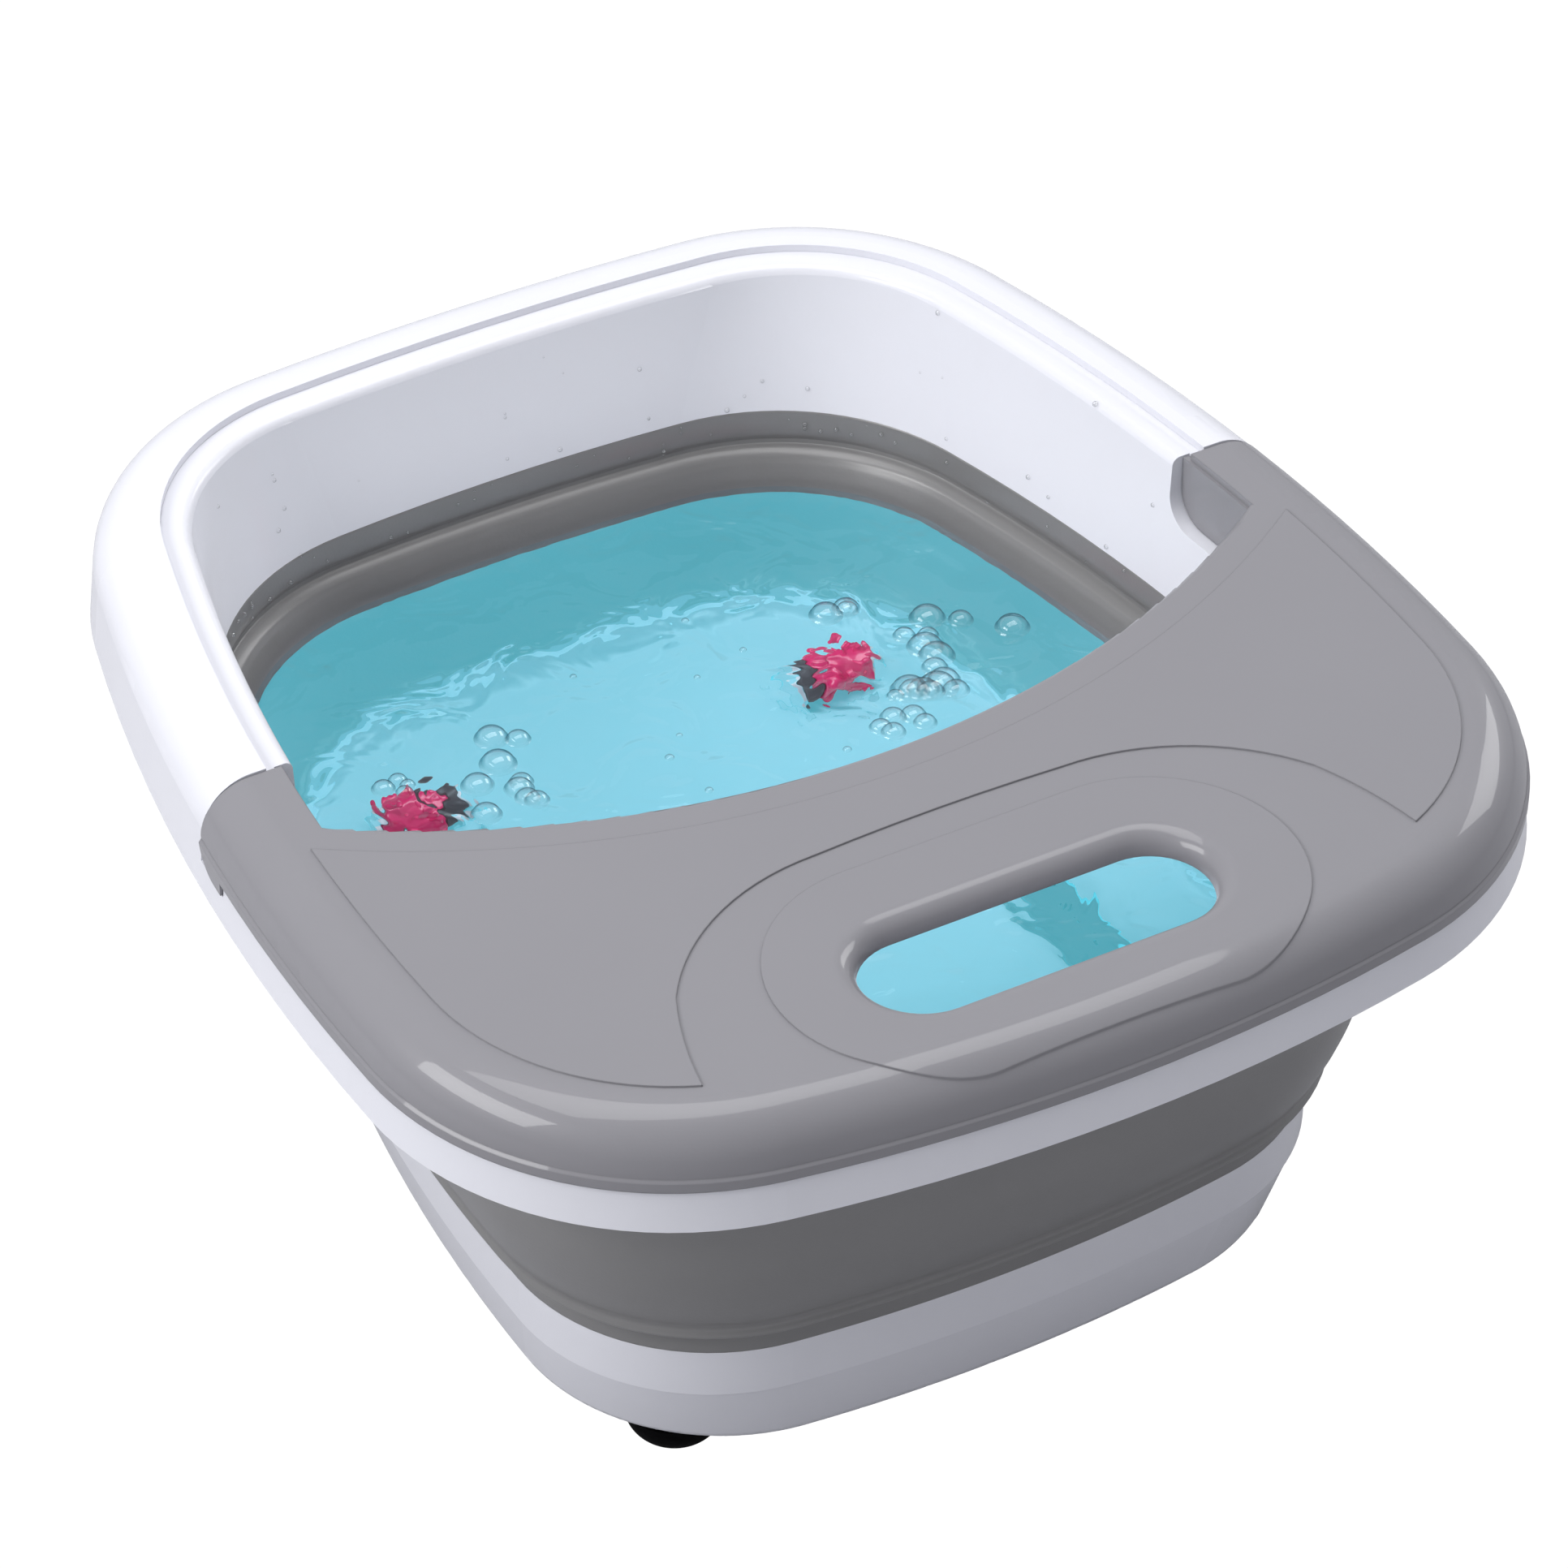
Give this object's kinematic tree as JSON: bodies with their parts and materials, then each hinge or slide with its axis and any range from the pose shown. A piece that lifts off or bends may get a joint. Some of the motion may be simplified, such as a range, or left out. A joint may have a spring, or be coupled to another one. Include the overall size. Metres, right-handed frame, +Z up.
{
  "type": "foot spa basin",
  "caption": "Collapsible foot spa basin: white rim and base joined by a grey folding wall, with a lift-off splash cover over the toe end, massage rollers and rubber feet.",
  "frame": {"origin": "middle of the footprint, on the surface the feet stand on", "axes": "+Z up, -Y toe end under the splash cover, +Y the user's side, +X the user's left foot side when seen from the toe end"},
  "size_m": [0.39, 0.4272, 0.1989],
  "materials": {
    "white_plastic": "glossy white moulded polypropylene",
    "grey_plastic": "satin grey moulded plastic with a soft gloss",
    "bellows_rubber": "matte grey thermoplastic rubber",
    "black_rubber": "smooth black rubber",
    "roller_red": "glossy red moulded plastic",
    "dark_grey_plastic": "dark grey moulded plastic",
    "steel": "plated steel",
    "aluminium": "extruded aluminium",
    "black_plastic": "black moulded plastic",
    "board_green": "glass-fibre circuit board",
    "clear_hose": "translucent soft hose"
  },
  "bodies": {
    "base": {"bellows": "bellows_rubber", "base_shell": "white_plastic", "bottom_plate": "white_plastic", "bottom_screws": "steel", "basin_floor": "white_plastic", "floor_seal": "black_rubber", "air_pump": "black_plastic", "pump_mounts": "black_rubber", "heater_plate": "aluminium", "heater_bracket": "steel", "thermostat": "black_plastic", "panel_bezel": "grey_plastic", "control_board": "board_green", "push_switches": "black_plastic", "board_posts": "white_plastic", "cord_inlet": "black_rubber", "foot_front_left": "black_rubber", "foot_front_right": "black_rubber", "foot_back_left": "black_rubber", "foot_back_right": "black_rubber", "roller_axle_left": "steel", "roller_axle_right": "steel", "roller_cradle_left": "white_plastic", "roller_cradle_right": "white_plastic", "bubble_bar_left": "dark_grey_plastic", "bubble_bar_right": "dark_grey_plastic", "air_hose_left": "clear_hose", "air_hose_right": "clear_hose"},
    "rim": {"rim_ring": "white_plastic", "tub_collar": "white_plastic", "rim_screws": "steel", "bellows_cuff": "bellows_rubber"},
    "cover": {"splash_cover": "grey_plastic"},
    "roller_left": {"roller_left": "roller_red", "roller_hub_left": "dark_grey_plastic"},
    "roller_right": {"roller_right": "roller_red", "roller_hub_right": "dark_grey_plastic"},
    "button_heat": {"button_heat": "white_plastic"},
    "button_power": {"button_power": "white_plastic"},
    "button_bubble": {"button_bubble": "white_plastic"}
  },
  "joints": [
    {"name": "fold", "type": "slide", "parent": "base", "child": "rim", "axis": [0, 0, 1], "range_m": [-0.076, 0], "deforming": ["bellows"]},
    {"name": "cover_lift", "type": "slide", "parent": "rim", "child": "cover", "axis": [0, 0, 1], "range_m": [0, 0.12]},
    {"name": "roller_left_spin", "type": "hinge", "parent": "base", "child": "roller_left", "pos_m": [-0.0755, 0.097, 0.065], "axis": [1, 0, 0], "continuous": true},
    {"name": "roller_right_spin", "type": "hinge", "parent": "base", "child": "roller_right", "pos_m": [0.0755, 0.097, 0.065], "axis": [1, 0, 0], "continuous": true},
    {"name": "button_heat_press", "type": "slide", "parent": "base", "child": "button_heat", "axis": [0, -1, 0], "range_m": [0, 0.0015], "stiffness_N_per_m": 400, "springref_m": -0.001},
    {"name": "button_power_press", "type": "slide", "parent": "base", "child": "button_power", "axis": [0, -1, 0], "range_m": [0, 0.0015], "stiffness_N_per_m": 400, "springref_m": -0.001},
    {"name": "button_bubble_press", "type": "slide", "parent": "base", "child": "button_bubble", "axis": [0, -1, 0], "range_m": [0, 0.0015], "stiffness_N_per_m": 400, "springref_m": -0.001}
  ]
}
